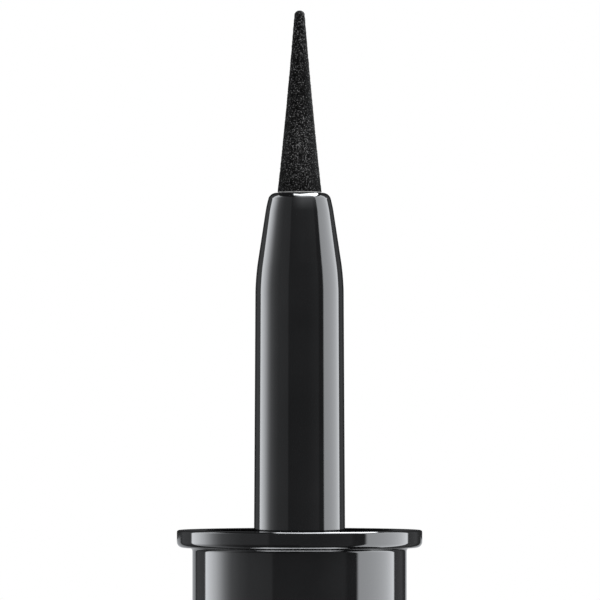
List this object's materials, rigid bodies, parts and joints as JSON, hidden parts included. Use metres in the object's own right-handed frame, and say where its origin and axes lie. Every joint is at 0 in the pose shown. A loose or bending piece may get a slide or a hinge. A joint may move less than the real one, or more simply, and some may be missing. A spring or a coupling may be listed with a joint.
{
  "type": "liquid eyeliner pen",
  "caption": "Slim round felt-tip liquid eyeliner pen, uncapped, with a flanged barrel, tapered neck and free-ink feed; it stands point up on the cap posted on its tail.",
  "frame": {"origin": "centre of the posted cap's closed end, which the pen stands on", "axes": "+Z along the pen's axis from the cap's closed end to the felt point; X and Y are equal"},
  "size_m": [0.0116, 0.0116, 0.1434],
  "materials": {
    "black_felt": "bonded fibre soaked in black ink",
    "section_plastic": "polished moulded black plastic",
    "barrel_plastic": "polished moulded black plastic",
    "cap_plastic": "polished moulded black plastic",
    "wick_fibre": "bundled polyester fibre, inked",
    "collector_plastic": "moulded, unpolished",
    "tank_plastic": "natural moulded plastic",
    "seal_rubber": "moulded rubber",
    "ball_steel": "ground ball",
    "liner_plastic": "natural moulded plastic",
    "spring_steel": "drawn wire"
  },
  "bodies": {
    "cap": {"cap_sleeve": "cap_plastic", "cap_end_plug": "cap_plastic", "cap_collar": "liner_plastic", "inner_cap_spring": "spring_steel"},
    "pen": {"felt_tip": "black_felt", "front_section": "section_plastic", "relay_core": "wick_fibre", "collector": "collector_plastic", "tank_seal": "seal_rubber", "ink_tank": "tank_plastic", "barrel": "barrel_plastic", "tail_plug": "barrel_plastic"},
    "inner_cap": {"inner_cap": "liner_plastic"},
    "mixing_ball": {"mixing_ball": "ball_steel"}
  },
  "joints": [
    {"name": "pen_pull", "type": "slide", "parent": "cap", "child": "pen", "axis": [0, 0, 1], "range_m": [0, 0.02]},
    {"name": "inner_cap_press", "type": "slide", "parent": "cap", "child": "inner_cap", "axis": [0, 0, -1], "range_m": [0, 0.0025], "stiffness_N_per_m": 120, "springref_m": -0.004, "deforming": ["inner_cap_spring"]},
    {"name": "ball_travel", "type": "slide", "parent": "pen", "child": "mixing_ball", "axis": [0, 0, 1], "range_m": [0, 0.0372]}
  ]
}
